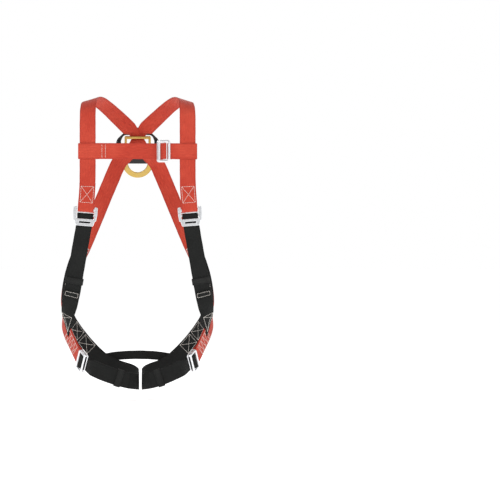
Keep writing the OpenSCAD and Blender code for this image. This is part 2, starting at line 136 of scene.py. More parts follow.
TORSO_ROWS = [
    (0.1508, -0.1024, -0.372, 0.02, -1, 0.02),
    (0.1556, -0.1046, -0.400, 0.04, -1, -0.05),
    (0.161, -0.106, -0.430, 0.08, -0.98, -0.15),
    (0.168, -0.0985, -0.470, 0.12, -0.97, -0.18),
    (0.175, -0.091, -0.510, 0.12, -0.97, -0.18),
    (0.182, -0.0835, -0.550, 0.15, -0.97, -0.18),
    (0.1905, -0.070, -0.588, 0.2, -0.96, -0.18),
    (0.1985, -0.0556, -0.620, 0.62, -0.78, -0.1),
    (0.2022, -0.0404, -0.652, 0.89, -0.45, 0),
]
THIGH_ROWS = [
    (0.119, -0.1125, -0.7655, 0.25, -0.97, 0),
    (0.100, -0.1133, -0.7745, 0.04, -1, 0),
    (0.060, -0.1085, -0.7905, -0.08, -1, 0),
    (0.030, -0.102, -0.799, -0.15, -0.98, 0),
    (0.010, -0.080, -0.803, -0.75, -0.66, 0),
    (0.005, -0.045, -0.806, -1, 0, 0),
    (0.005, 0, -0.807, -1, 0, 0),
    (0.005, 0.045, -0.803, -1, 0, 0),
    (0.011, 0.080, -0.794, -0.75, 0.66, 0),
    (0.032, 0.103, -0.784, -0.12, 0.99, 0),
    (0.068, 0.115, -0.772, 0.02, 1, 0),
    (0.106, 0.119, -0.750, 0.05, 1, -0.05),
    (0.140, 0.114, -0.716, 0.35, 0.93, -0.1),
    (0.167, 0.098, -0.680, 0.65, 0.75, -0.05),
    (0.186, 0.076, -0.645, 0.85, 0.5, 0),
    (0.198, 0.054, -0.608, 0.92, 0.35, 0),
    (0.203, 0.038, -0.578, 0.9, 0.42, 0.05),
]
SEAT_ROWS = [
    (-0.112, 0.122, -0.750, -0.05, 1, -0.05),
    (-0.060, 0.126, -0.741, 0, 1, -0.05),
    (0, 0.124, -0.738, 0, 1, -0.05),
    (0.060, 0.126, -0.741, 0, 1, -0.05),
    (0.112, 0.122, -0.750, 0.05, 1, -0.05),
]
CROTCH_SHIFT, CROTCH_REACH = 8 * MM, 110 * MM

# ---------------------------------------------------------------- frames along a strap


def unit(v):
    v = np.asarray(v, float)
    return v / np.linalg.norm(v)


def smooth(u):
    v = min(max(u, 0.0), 1.0)
    return v * v * (3 - 2 * v)


class Frame:
    """A point with the directions across the webbing, outward and along it."""

    def __init__(self, p, w, n, t, k=1.0, slant=0.0):
        self.p, self.w, self.n, self.t = (np.asarray(x, float) for x in (p, w, n, t))
        self.k = k
        self.slant = slant

    def moved(self, across=0.0, out=0.0, along=0.0):
        p = self.p + across * self.w + out * self.n + along * self.t
        return Frame(p, self.w, self.n, self.t, self.k, self.slant)

    def point(self, x, y, z):
        return self.p + x * self.w + y * self.t + z * self.n


def frame_of(p, along, out):
    t = unit(along)
    w = unit(np.cross(t, out))
    return Frame(p, w, np.cross(w, t), t)


def mirrored(rows, side):
    return [(side * r[0], r[1], r[2], side * r[3], r[4], r[5]) for r in rows]


def frame_at(rows, t):
    """The frame at row number t of a smooth curve through the rows."""
    i = min(int(math.floor(t)), len(rows) - 2)
    u = t - i
    last = len(rows) - 1
    a, b, c, d = (np.array(rows[min(max(k, 0), last)], float) for k in (i - 1, i, i + 1, i + 2))
    place = 0.5 * (2 * b + (c - a) * u + (2 * a - 5 * b + 4 * c - d) * u**2 + (3 * b - a - 3 * c + d) * u**3)
    slope = 0.5 * ((c - a) + 2 * (2 * a - 5 * b + 4 * c - d) * u + 3 * (3 * b - a - 3 * c + d) * u**2)
    return frame_of(place[:3], slope[:3], place[3:])


def frames_of(rows, first, last, per_row=12):
    n = max(2, math.ceil(abs(last - first) * per_row))
    return [frame_at(rows, first + (last - first) * i / n) for i in range(n + 1)]


def all_frames(rows):
    return frames_of(rows, 0, len(rows) - 1)


def raised(frames, h):
    return [f.moved(out=h) for f in frames]


def flipped(frames):
    """The same strip walked the other way."""
    return [Frame(f.p, -f.w, f.n, f.t, f.k, -f.slant) for f in reversed(frames)]


def slanted(frames, lean, reach):
    """Sections that lean along the strap more and more towards its last frame."""
    end = frames[-1].p
    made = []
    for f in frames:
        near = smooth(1 - np.linalg.norm(f.p - end) / reach)
        made.append(Frame(f.p, f.w, f.n, f.t, f.k, lean * near))
    return made


def turn(f, side, r):
    """The half circle round a bar: side -1 turns to the inner face, +1 to the outer face."""
    made = []
    for degrees in range(12, 180, 12):
        a = math.radians(degrees)
        p = f.p + side * r * (1 - math.cos(a)) * f.n + r * math.sin(a) * f.t
        made.append(Frame(p, f.w, math.cos(a) * f.n - side * math.sin(a) * f.t, f.t))
    return made


def turned_back(frames, side, r, hold=0.0, over=CLOSING):
    """The layer that runs back along the route after a turn, closing up to lie on it."""
    made = []
    for f in frames:
        d = np.linalg.norm(f.p - frames[0].p)
        h = 2 * r + (LAYER - 2 * r) * smooth((d - hold) / over)
        made.append(Frame(f.p + side * h * f.n, f.w, -f.n, -f.t, 1.0, -f.slant))
    return made


class Strip:
    """A length of webbing: its frames, and places on it by distance along and across."""

    def __init__(self, frames):
        self.frames = frames
        p = np.array([f.p for f in frames])
        self.table = np.hstack([p, *[np.array([getattr(f, k) for f in frames]) for k in "wn"]])
        self.s = np.concatenate([[0], np.cumsum(np.linalg.norm(np.diff(p, axis=0), axis=1))])
        self.length = self.s[-1]
        self.end_way = unit(p[-1] - p[-2])

    def point(self, s, c, h):
        """A slanted end reaches past the last frame, so distances beyond it go straight on."""
        row = [np.interp(s, self.s, self.table[:, i]) for i in range(9)]
        p, w, n = np.array(row[:3]), unit(row[3:6]), unit(row[6:])
        return p + c * w + h * n + max(0.0, s - self.length) * self.end_way

    def along_at(self, axis, value, low=0.0, high=1.0):
        """The distance along, between two shares of the length, where a coordinate takes a value."""
        inside = (self.s >= low * self.length) & (self.s <= high * self.length)
        return self.s[inside][np.argmin(np.abs(self.table[inside, axis] - value))]


# ---------------------------------------------------------------- materials


def node_tree(name):
    material = bpy.data.materials.new(name)
    material.use_nodes = True
    tree = material.node_tree
    return material, Wires(tree), tree.nodes["Principled BSDF"]


def put(shader, values):
    """Constants go straight on the shader's own sockets."""
    for key, value in values.items():
        shader.inputs[key].default_value = value


class Wires:
    """Short ways to add nodes to one material."""

    def __init__(self, tree):
        self.tree = tree

    def add(self, kind, **settings):
        node = self.tree.nodes.new(kind)
        for key, value in settings.items():
            setattr(node, key, value)
        return node

    def link(self, a, b):
        self.tree.links.new(a, b)

    def math(self, operation, a, b=None, clamp=False):
        node = self.add("ShaderNodeMath", operation=operation, use_clamp=clamp)
        for i, value in enumerate((a, b)):
            if value is None:
                continue
            if isinstance(value, (int, float)):
                node.inputs[i].default_value = value
            else:
                self.link(value, node.inputs[i])
        return node.outputs[0]

    def times(self, a, b):
        return self.math("MULTIPLY", a, b)

    def geometry(self, name):
        return self.add("ShaderNodeNewGeometry").outputs[name]

    def noise(self, vector, scale, detail, rough):
        node = self.add("ShaderNodeTexNoise")
        put(node, {"Scale": scale, "Detail": detail, "Roughness": rough})
        self.link(vector, node.inputs["Vector"])
        return node.outputs[0]

    def span(self, value, a, b, c=0.0, d=1.0):
        node = self.add("ShaderNodeMapRange", clamp=True)
        put(node, {"From Min": a, "From Max": b, "To Min": c, "To Max": d})
        self.link(value, node.inputs["Value"])
        return node.outputs[0]

    def mix(self, factor, a, b, blend="MIX"):
        node = self.add("ShaderNodeMix", data_type="RGBA", blend_type=blend)
        for socket, value in ((node.inputs[0], factor), (node.inputs[6], a), (node.inputs[7], b)):
            if isinstance(value, (int, float)):
                socket.default_value = value
            elif isinstance(value, tuple):
                socket.default_value = (*value, 1.0)
            else:
                self.link(value, socket)
        return node.outputs[2]

    def bump(self, height, strength, distance, shader, before=None):
        node = self.add("ShaderNodeBump")
        put(node, {"Strength": strength, "Distance": distance})
        self.link(height, node.inputs["Height"])
        if before is not None:
            self.link(before, node.inputs["Normal"])
        self.link(node.outputs[0], shader.inputs["Normal"])
        return node.outputs[0]


UV = "along"


COARSE = 0.35


def webbing_material(name, base, dark, light, width, rib, pick, sheen, rough):
    """Woven webbing: ribs that run along it, picks across, darker selvedges with painted shade laid along
    the edges, and yarn variation.
    """
    material, w, shader = node_tree(name)
    uv = w.add("ShaderNodeUVMap", uv_map=UV)
    split = w.add("ShaderNodeSeparateXYZ")
    w.link(uv.outputs[0], split.inputs[0])
    u, v = split.outputs[0], split.outputs[1]
    across = w.math("SINE", w.times(u, 2 * math.pi / rib))
    stagger = w.times(w.math("SIGN", across), math.pi / 2)
    along = w.math("SINE", w.math("ADD", w.times(v, 2 * math.pi / pick), stagger))
    ribbed = w.times(w.math("ABSOLUTE", across), 0.65)
    weave = w.math("ADD", ribbed, w.times(along, 0.35))
    track = w.math("SINE", w.times(u, 2 * math.pi / (rib * 4.0)))
    stretched = w.add("ShaderNodeCombineXYZ")
    w.link(w.times(u, 1400.0), stretched.inputs[0])
    w.link(w.times(v, 60.0), stretched.inputs[1])
    yarn = w.noise(stretched.outputs[0], 1.0, 3.0, 0.6)
    place = w.geometry("Position")
    patches = w.noise(place, 14.0, 3.0, 0.55)
    specks = w.noise(place, 420.0, 2.0, 0.6)
    # The darker selvedges and the dark line beside each one are partly the webbing's own colour and partly
    # painted shade along the strap edges.
    edge = w.math("ABSOLUTE", u)
    selvedge_and_painted_shade = w.span(edge, width / 2 - 3.2 * MM, width / 2 - 0.3 * MM)
    rise = w.span(edge, width / 2 - 4.6 * MM, width / 2 - 3.9 * MM)
    fall = w.span(edge, width / 2 - 3.9 * MM, width / 2 - 3.1 * MM, 1.0, 0.0)
    line = w.times(rise, fall)
    colour = w.mix(w.span(yarn, 0.35, 0.7), dark, base)
    colour = w.mix(w.times(w.span(patches, 0.4, 0.68), 0.45), colour, light)
    colour = w.mix(w.times(w.span(weave, 0.15, 0.75, 1.0, 0.0), COARSE), colour, dark)
    colour = w.mix(w.times(w.span(track, -1.0, 1.0), 0.16), colour, dark)
    # Painted shade: the edge darkening is strong enough to stand in for the shadow along the strap edges, on
    # top of the darker selvedge yarn.
    colour = w.mix(w.times(w.math("ADD", line, selvedge_and_painted_shade, clamp=True), 0.8), colour, dark)
    colour = w.mix(w.times(w.span(specks, 0.62, 0.8), 0.25), colour, light)
    end = w.add("ShaderNodeAttribute", attribute_name="cut").outputs["Fac"]
    colour = w.mix(w.times(end, 0.75), colour, tuple(0.35 * c for c in dark))
    w.link(colour, shader.inputs["Base Color"])
    wear = w.math("ADD", w.times(patches, 0.5), w.times(specks, 0.5))
    w.link(w.span(wear, 0.3, 0.7, rough - 0.08, rough + 0.1), shader.inputs["Roughness"])
    put(shader, {"Sheen Weight": sheen, "Sheen Roughness": 0.45, "Specular IOR Level": 0.24})
    slow = w.bump(patches, 0.25, 1.2 * MM, shader)
    relief = w.math("ADD", weave, w.times(track, 0.25))
    ribs = w.bump(relief, 0.8, 0.35 * MM, shader, slow)
    w.bump(yarn, 0.3, 0.15 * MM, shader, ribs)
    return material


def metal_material(name, base, second, rough, grain, hue_scale, hue):
    """Plated metal: slow changes of tint, faint grinding marks, small pits, duller rubbed patches and a
    painted highlight on its sharp rims.
    """
    material, w, shader = node_tree(name)
    place = w.geometry("Position")
    slow = w.noise(place, hue_scale, 3.0, 0.6)
    fine = w.noise(place, 260.0, 4.0, 0.65)
    stretch = w.add("ShaderNodeMapping")
    stretch.inputs["Scale"].default_value = (90.0, 90.0, 900.0)
    w.link(place, stretch.inputs["Vector"])
    marks = w.noise(stretch.outputs[0], 1.0, 3.0, 0.7)
    # Mask of the sharp convex rims, used for a painted highlight.
    edges = w.span(w.geometry("Pointiness"), 0.5, 0.58)
    colour = w.mix(w.times(w.span(slow, 0.35, 0.65), hue), base, second)
    colour = w.mix(w.times(w.span(fine, 0.6, 0.8), 0.3), colour, tuple(0.55 * c for c in base))
    # Painted highlight: the colour is made brighter on the sharp rims, standing in for light caught by the
    # bevels.
    colour = w.mix(w.times(edges, 0.35), colour, tuple(min(1.0, 1.15 * c) for c in base))
    w.link(colour, shader.inputs["Base Color"])
    put(shader, {"Metallic": 1.0})
    wear = w.math("ADD", w.times(marks, 0.6), w.times(fine, 0.4))
    w.link(w.span(wear, 0.35, 0.7, rough - 0.06, rough + 0.14), shader.inputs["Roughness"])
    first = w.bump(fine, grain, 0.12 * MM, shader)
    w.bump(marks, grain * 0.5, 0.05 * MM, shader, first)
    return material


def plastic_material(name, base, light):
    """Moulded plastic with a fine spark-eroded grain and paler colour towards its sharp convex edges."""
    material, w, shader = node_tree(name)
    place = w.geometry("Position")
    grain = w.noise(place, 900.0, 3.0, 0.6)
    slow = w.noise(place, 30.0, 4.0, 0.6)
    edges = w.span(w.geometry("Pointiness"), 0.5, 0.6)
    colour = w.mix(w.times(w.span(slow, 0.4, 0.75), 0.6), base, light)
    # Paler towards the sharp convex edges, by pointiness.
    colour = w.mix(w.times(edges, 0.5), colour, tuple(2.0 * c for c in light))
    w.link(colour, shader.inputs["Base Color"])
    w.link(w.span(slow, 0.3, 0.7, 0.36, 0.55), shader.inputs["Roughness"])
    w.bump(grain, 0.35, 0.1 * MM, shader)
    return material


def thread_material(name, base, dark):
    """Twisted bonded thread: plies wind round it, with a little soiling."""
    material, w, shader = node_tree(name)
    place = w.geometry("Position")
    wave = w.add("ShaderNodeTexWave", bands_direction="DIAGONAL")
    wave.inputs["Scale"].default_value = 700.0
    w.link(place, wave.inputs["Vector"])
    soil = w.noise(place, 60.0, 3.0, 0.6)
    colour = w.mix(w.times(wave.outputs["Fac"], 0.3), base, dark)
    colour = w.mix(w.times(w.span(soil, 0.45, 0.75), 0.4), colour, dark)
    w.link(colour, shader.inputs["Base Color"])
    w.link(w.span(soil, 0.3, 0.7, 0.5, 0.7), shader.inputs["Roughness"])
    w.bump(wave.outputs["Fac"], 0.5, 0.15 * MM, shader)
    return material


def ink_material(name, base, light):
    """Screen-printed ink that follows the weave and has worn a little."""
    material, w, shader = node_tree(name)
    place = w.geometry("Position")
    wear = w.noise(place, 300.0, 4.0, 0.7)
    slow = w.noise(place, 40.0, 2.0, 0.5)
    w.link(w.mix(w.times(w.span(wear, 0.5, 0.75), 0.5), base, light), shader.inputs["Base Color"])
    w.link(w.span(slow, 0.3, 0.7, 0.6, 0.8), shader.inputs["Roughness"])
    w.bump(wear, 0.4, 0.2 * MM, shader)
    return material


# Each webbing's base, dark and light tones, then its width, rib, pick, sheen and roughness.
RIB, PICK = 1.9 * MM, 1.3 * MM
RED_TONES = (0.73, 0.08, 0.0405), (0.44, 0.033, 0.0175), (0.8, 0.125, 0.072)
RED = webbing_material("red_webbing", *RED_TONES, WEB_W, RIB, PICK, 0.15, 0.72)
BLACK_TONES = (0.0082, 0.009, 0.0082), (0.0032, 0.0035, 0.0032), (0.0195, 0.0215, 0.02)
BLACK = webbing_material("black_webbing", *BLACK_TONES, WEB_W, RIB, PICK, 0.035, 0.7)
SEAT = webbing_material("black_seat_webbing", *BLACK_TONES, SEAT_W, RIB, PICK, 0.035, 0.7)
ELASTIC_TONES = (0.02, 0.0215, 0.0195), (0.0045, 0.0045, 0.0045), (0.045, 0.047, 0.044)
ELASTIC = webbing_material("black_elastic", *ELASTIC_TONES, KEEPER_LEN, 1.2 * MM, 0.8 * MM, 0.12, 0.75)
THREAD = thread_material("pale_thread", (0.86, 0.82, 0.76), (0.5, 0.44, 0.4))
INK = ink_material("black_ink", (0.012, 0.011, 0.011), (0.1, 0.02, 0.015))
STEEL = metal_material("bright_steel", (0.86, 0.87, 0.89), (0.78, 0.8, 0.84), 0.3, 0.16, 25.0, 0.3)
ZINC = metal_material("yellow_zinc", (0.62, 0.42, 0.11), (0.54, 0.41, 0.17), 0.3, 0.3, 45.0, 0.6)
PLASTIC = plastic_material("black_plastic", (0.0065, 0.0065, 0.007), (0.013, 0.013, 0.014))

# ---------------------------------------------------------------- meshes


def new_object(name, verts, faces, material, smooth_angle=40.0, uvs=None, cut=None):
    mesh = bpy.data.meshes.new(name)
    mesh.from_pydata([tuple(v) for v in verts], [], faces)
    if uvs is not None:
        layer = mesh.uv_layers.new(name=UV)
        index = np.empty(len(mesh.loops), int)
        mesh.loops.foreach_get("vertex_index", index)
        layer.data.foreach_set("uv", np.asarray(uvs, float)[index].ravel())
    if cut is not None:
        mesh.attributes.new("cut", "FLOAT", "POINT").data.foreach_set("value", np.asarray(cut, float))
    mesh.materials.append(material)
    made = bpy.data.objects.new(name, mesh)
    bpy.context.scene.collection.objects.link(made)
    mesh.shade_smooth()
    mesh.set_sharp_from_angle(angle=math.radians(smooth_angle))
    return made


def finish_piece(made, body, nodes=()):
    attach(made, body)
    if nodes:
        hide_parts(*nodes)
    return made


def band_profile(width, thick, steps=16):
    """Points round the band's section: across, height, with soft round selvedges."""
    a, b = width / 2, thick / 2
    edge = 1.3 * b
    inner = list(np.linspace(-(a - edge), a - edge, steps))
    rim = [a - edge * (1 - math.sin(math.radians(x))) for x in (30, 60, 80)]
    heights = [b * math.cos(math.radians(x)) for x in (30, 60, 80)]
    top = [(-c, h) for c, h in zip(reversed(rim), reversed(heights))]
    top += [(c, b) for c in inner] + list(zip(rim, heights))
    return [(-a, 0.0)] + top + [(a, 0.0)] + [(c, -h) for c, h in reversed(top)]


def ribbon(name, frames, width, thick, material, closed=False, seed=1):
    """A woven band swept along frames, with its own map of distance across and along."""
    profile = band_profile(width, thick)
    n, m = len(frames), len(profile)
    p = np.array([f.p for f in frames])
    gaps = np.linalg.norm(np.diff(p, axis=0), axis=1)
    s = np.concatenate([[0], np.cumsum(gaps)])
    rng = random.Random(seed)
    phases = [rng.uniform(0, 6.28) for _ in range(3)]
    verts, uvs, cut = [], [], []
    for i, f in enumerate(frames):
        wave = 0.12 * MM * math.sin(s[i] * 170 + phases[0])
        wave += 0.1 * MM * math.sin(s[i] * 63 + phases[1])
        for c, h in profile:
            lean = f.slant * c
            verts.append(f.p + (c * (1 + 2 * wave / width)) * f.w + f.k * h * f.n + lean * f.t)
            uvs.append((c, s[i] + lean))
            cut.append(0.0 if closed else max(0.0, 1 - min(s[i], s[-1] - s[i]) / (1.2 * MM)))
    faces = []
    for i in range(n if closed else n - 1):
        for k in range(m):
            a, b = i * m + k, i * m + (k + 1) % m
            step = ((i + 1) % n - i) * m
            faces.append((a, a + step, b + step, b))
    if not closed:
        faces.append(tuple(range(m)))
        faces.append(tuple(reversed(range((n - 1) * m, n * m))))
    return new_object(name, verts, faces, material, 50.0, uvs, cut)


def web(node, frames, material, seed, body="harness", closed=False):
    """The webbing that stands for a CAD strap."""
    made = ribbon("web_" + node, frames, WEB_W, WEB_T, material, closed, seed)
    finish_piece(made, body, [node])


def sew(name, seams, body="harness"):
    finish_piece(stitch_mesh("stitches_" + name, seams), body)


def stitch_mesh(name, points_list, thick=1.1 * MM):
    """Every stitch is its own short arc of thread that dives into the webbing at both ends."""
    verts, faces = [], []
    ring = 6
    for points, normal in points_list:
        first = len(verts)
        side = unit(np.cross(points[-1] - points[0], normal))
        sizes = [0.45, 0.95, 1.0, 0.95, 0.45]
        sinks = [-0.75, 0.05, 0.3, 0.05, -0.75]
        for share, size, sink in zip((0.0, 0.14, 0.5, 0.86, 1.0), sizes, sinks):
            centre = points[0] + (points[-1] - points[0]) * share + normal * sink * thick / 2
            for k in range(ring):
                a = 2 * math.pi * k / ring
                verts.append(centre + size * thick / 2 * (math.cos(a) * side + math.sin(a) * normal))
        for i in range(4):
            for k in range(ring):
                a, b = first + i * ring + k, first + i * ring + (k + 1) % ring
                faces.append((a, b, b + ring, a + ring))
        faces.append(tuple(first + k for k in reversed(range(ring))))
        faces.append(tuple(first + 4 * ring + k for k in range(ring)))
    return new_object(name, verts, faces, THREAD, 60.0)


def sewn(strip, lines, heights, length=3.8 * MM, gap=0.9 * MM):
    """Stitches along lines given as (along, across) corners, on the faces at the given heights."""
    rng = random.Random(3)
    made = []
    for h in heights:
        side = 1 if h > 0 else -1
        for line in lines:
            for (s0, c0), (s1, c1) in zip(line, line[1:]):
                reach = math.hypot(s1 - s0, c1 - c0)
                count = max(1, round(reach / (length + gap)))
                for i in range(count):
                    a = (i + gap / 2 / (length + gap)) / count
                    b = (i + 1 - gap / 2 / (length + gap)) / count
                    drift = rng.uniform(-0.25, 0.25) * MM
                    ends = []
                    for share in (a, b):
                        s, c = s0 + (s1 - s0) * share, c0 + (c1 - c0) * share
                        s += drift * abs(c1 - c0) / reach
                        c += drift * abs(s1 - s0) / reach
                        ends.append(strip.point(s, c, h))
                    s, c = s0 + (s1 - s0) * (a + b) / 2, c0 + (c1 - c0) * (a + b) / 2
                    middle = strip.point(s, c, h)
                    inside = strip.point(s, c, h - side * MM)
                    made.append((np.array(ends), unit(middle - inside)))
    return made


def box_lines(s0, s1, c, cross=True, slant=0.0):
    """A sewn box, c to each side of the middle, with a cross in it.

    slant moves its far end along by that much for each unit across.
    """
    def at(s, c):
        return (s + (slant * c if s == s1 else 0.0), c)
    lines = [[at(s0, -c), at(s0, c), at(s1, c), at(s1, -c), at(s0, -c)]]
    if cross:
        lines += [[at(s0, -c), at(s1, c)], [at(s0, c), at(s1, -c)]]
    return lines


def zigzag(s0, s1, c, turns):
    return [[(s0 + (s1 - s0) * i / turns, -c if i % 2 else c) for i in range(turns + 1)]]


HALF = WEB_W / 2
FACE = WEB_T / 2
PATTERN_C = HALF - 4.8 * MM

# ---------------------------------------------------------------- shoulder straps

TOP_BAR_D, SLIDE_BAR_D, BUCKLE_T, FRAME_BAR_D = 7 * MM, 6 * MM, 4 * MM, 5 * MM
TURN_R = TOP_BAR_D / 2 + GAP + WEB_T / 2
FRAME_TURN_R = FRAME_BAR_D / 2 + GAP + WEB_T / 2
CHEST_END, BACK_END = len(CHEST_ROWS) - 1, len(BACK_ROWS) - 1
CROSSING = np.array((0, 0.107, -0.122))
CROSSING_SHIFT = WEB_T / 2 + 0.15 * MM
GATHERED = 0.78
ASKEW, ASKEW_REACH = 0.36, 55 * MM


def crossing(frames, side):
    """One strap lies over the other where they cross, and both are gathered level with the ring's bar."""
    made = []
    for f in frames:
        d = np.linalg.norm(f.p - CROSSING)
        near = smooth((50 * MM - d) / (30 * MM))
        w = (1 - near) * f.w + near * GATHERED * np.array((1.0, 0.0, 0.0))
        n = unit(np.cross(w, f.t))
        lift = side * CROSSING_SHIFT * smooth((90 * MM - d) / (40 * MM))
        made.append(Frame(f.p + lift * n, w, n, f.t))
    return made


def main_rows(side):
    return mirrored(CHEST_ROWS[::-1], side) + mirrored(NAPE_ROWS, side) + mirrored(BACK_ROWS, -side)


def adjuster_end(side):
    return frame_at(mirrored(CHEST_ROWS, side), CHEST_END)


def buckle_end(side):
    """The leg buckle stands askew on the strap's end, in line with the leg strap."""
    f = frame_at(mirrored(BACK_ROWS, side), BACK_END)
    lean = side * ASKEW
    return Frame(f.p, f.w - lean * f.t, f.n, unit(f.t + lean * f.w))


def arrow_outline():
    """A broad arrow that points along -s, in millimetres."""
    return [(-23, 0), (-7, 11.5), (-7, 4.6), (22, 4.6), (22, -4.6), (-7, -4.6), (-7, -11.5)]


def ink_patch(name, strip, at, outlines, height):
    """Printed shapes laid on the webbing, given as (along, across) outlines in millimetres."""
    verts, faces = [], []
    for outline in outlines:
        first = len(verts)
        for s, c in outline:
            verts.append(strip.point(at + s * MM, c * MM, height))
        faces.append(tuple(range(first, len(verts))))
    return new_object(name, verts, faces, INK)


def dense(outline, step=2.0):
    """The outline with points no further than step apart."""
    made = []
    for (s0, c0), (s1, c1) in zip(outline, outline[1:] + outline[:1]):
        n = max(1, math.ceil(math.hypot(s1 - s0, c1 - c0) / step))
        made += [(s0 + (s1 - s0) * i / n, c0 + (c1 - c0) * i / n) for i in range(n)]
    return made


def stripes(outline, step=1.5):
    """An outline cut into thin strips across, so that it follows the strap's bend."""
    made = []
    low, high = min(s for s, _ in outline), max(s for s, _ in outline)
    n = math.ceil((high - low) / step)

    def reach(s):
        cuts = []
        for (s0, c0), (s1, c1) in zip(outline, outline[1:] + outline[:1]):
            if (s0 - s) * (s1 - s) <= 0 and s0 != s1:
                cuts.append(c0 + (c1 - c0) * (s - s0) / (s1 - s0))
        return (min(cuts), max(cuts)) if cuts else (0.0, 0.0)

    for i in range(n):
        a, b = low + (high - low) * i / n + 1e-4, low + (high - low) * (i + 1) / n - 1e-4
        (a0, a1), (b0, b1) = reach(a), reach(b)
        made.append([(a, a0), (a, a1), (b, b1), (b, b0)])
    return made


def disc_outline(radius=9.5, steps=48):
    """A plain disc, which marks the straps that lead to the back ring."""
    angles = [2 * math.pi * i / steps for i in range(steps)]
    return [(radius * math.cos(a), radius * math.sin(a)) for a in angles]


def shoulder_strap(side):
    name = "shoulder_strap_" + SIDE_NAMES[side]
    top, foot = adjuster_end(side), buckle_end(-side)
    chest = frames_of(mirrored(CHEST_ROWS, side), CHEST_END, CHEST_END - 1.4)
    hip = frames_of(mirrored(BACK_ROWS, -side), BACK_END - 2.2, BACK_END)
    hip = slanted(hip, side * ASKEW, ASKEW_REACH)[::-1]
    main = slanted(crossing(all_frames(main_rows(side)), side), side * ASKEW, ASKEW_REACH)
    frames = flipped(turn(top, -1, TURN_R) + turned_back(chest, -1, TURN_R)) + main
    frames += turn(foot, -1, FRAME_TURN_R) + turned_back(hip, -1, FRAME_TURN_R)
    web(name, frames, RED, 5 + side)
    strip = Strip(main)
    both = (FACE, -LAYER - FACE)
    low, high = strip.along_at(2, -0.302, 0, 0.3), strip.along_at(2, -0.256, 0, 0.3)
    seams = sewn(strip, box_lines(low, high, 17.5 * MM), both)
    low, high = strip.along_at(2, -0.424, 0.5, 1), strip.along_at(2, -0.458, 0.5, 1)
    seams += sewn(strip, box_lines(low, high, PATTERN_C), both)
    low = strip.along_at(2, -0.533, 0.5, 1)
    tacks = []
    for s in (low, low + 5 * MM):
        tacks.append([(s, -PATTERN_C), (s + 9 * MM, PATTERN_C)])
    seams += sewn(strip, tacks, both)
    low, high = strip.along_at(2, -0.668, 0.5, 1), strip.along_at(2, -0.716, 0.5, 1)
    lines = box_lines(low, high, PATTERN_C, cross=False)
    seams += sewn(strip, lines + zigzag(low, high, PATTERN_C, 9), both)
    sew(name, seams)
    mark = FACE + 0.12 * MM
    at = strip.along_at(2, -0.206, 0.5, 1)
    finish_piece(ink_patch("arrow_" + name, strip, at, stripes(arrow_outline()), mark), "harness")
    at = strip.along_at(2, -0.262, 0.5, 1)
    finish_piece(ink_patch("disc_" + name, strip, at, stripes(disc_outline()), mark), "harness")


for side in (LEFT, RIGHT):
    shoulder_strap(side)

# ---------------------------------------------------------------- torso straps

SLIDE_Y = 14 * MM
SLIDE_TURN_R = SLIDE_BAR_D / 2 + GAP + WEB_T / 2
SLIDE_Z = -BUCKLE_T / 2 - 1.5 * MM - WEB_T / 2 - SLIDE_TURN_R
TAIL_END, HEM_START = 7.35, 6.97
TAIL_HOLD, TAIL_CLOSING = 12 * MM, 48 * MM
END_SLANT, SLANT_REACH = 0.84, 60 * MM


def adjuster_frame(side):
    return adjuster_end(side).moved(out=-TURN_R)


def torso_route(side):
    start = []
    for y in (0, 18 * MM):
        f = adjuster_frame(side).moved(out=SLIDE_Z - SLIDE_TURN_R, along=SLIDE_Y + y)
        start.append((*f.p, *f.n))
    return start + mirrored(TORSO_ROWS, side)


def tail_frames(side, first, last):
    route = torso_route(side)
    start = frame_at(route, 0).p
    made = []
    for f in frames_of(route, first, last):
        d = np.linalg.norm(f.p - start)
        h = 2 * SLIDE_TURN_R + (LAYER - 2 * SLIDE_TURN_R) * smooth((d - TAIL_HOLD) / TAIL_CLOSING)
        made.append(Frame(f.p + h * f.n, -f.w, -f.n, -f.t))
    return made


def torso_strap(side):
    name = "torso_strap_" + SIDE_NAMES[side]
    route = torso_route(side)
    down = slanted(all_frames(route), side * END_SLANT, SLANT_REACH)
    start = down[0]
    upward = Frame(start.p, -start.w, start.n, -start.t)
    tail = tail_frames(side, 0, HEM_START)
    hem = tail_frames(side, HEM_START + 0.03, TAIL_END)
    hem = [Frame(f.p - WEB_T * f.n, f.w, f.n, f.t, 3.0) for f in hem]
    frames = flipped(down) + turn(upward, 1, SLIDE_TURN_R) + tail + hem
    web(name, frames, BLACK, 9 + side)
    strip = Strip(down)
    first = strip.along_at(2, -0.618, 0.5, 1)
    lines = box_lines(first, strip.length - 9 * MM, PATTERN_C, slant=side * END_SLANT)
    seams = sewn(strip, lines, (FACE,))
    front = Strip([Frame(f.p, f.w, -f.n, -f.t) for f in hem])
    a, b = 1.5 * MM, front.length - 2 * MM
    seams += sewn(front, box_lines(a, b, 18 * MM, cross=False), (3 * FACE, -3 * FACE), 3 * MM)
    sew(name, seams)


for side in (LEFT, RIGHT):
    torso_strap(side)

# ---------------------------------------------------------------- leg straps

BAR_Y, FRAME_Z, PLATE_Z = -17 * MM, -4 * MM, 1.2 * MM
HINGE_Y, HINGE_Z, PLATE_MID, PLATE_BAR_Y = 10.2 * MM, -1.1 * MM, -3.5 * MM, -6 * MM
BEND_Y, BEND_Z = 5.6 * MM, -0.9 * MM
TAIL_R = 1.7 * MM
STRAP_R = TAIL_R + LAYER
UNDER_Z, WINDOW_END = -6 * MM, 13 * MM


def buckle_frame_at(end):
    return Frame(end.p, unit(end.w), end.n, end.t).moved(out=-FRAME_Z - FRAME_TURN_R, along=-BAR_Y)


def leg_buckle(side):
    return buckle_frame_at(buckle_end(side))


def leg_route(side):
    start = []
    for y, z in ((WINDOW_END, -10.3 * MM), (24 * MM, -11.1 * MM)):
        f = leg_buckle(side).moved(out=z, along=y)
        start.append((*f.p, *f.n))
    thigh = []
    for r in mirrored(THIGH_ROWS, side):
        near = max(0.0, 1 - abs(r[0]) / CROTCH_REACH)
        thigh.append((r[0] + CROTCH_SHIFT * near, *r[1:]))
    return start + thigh


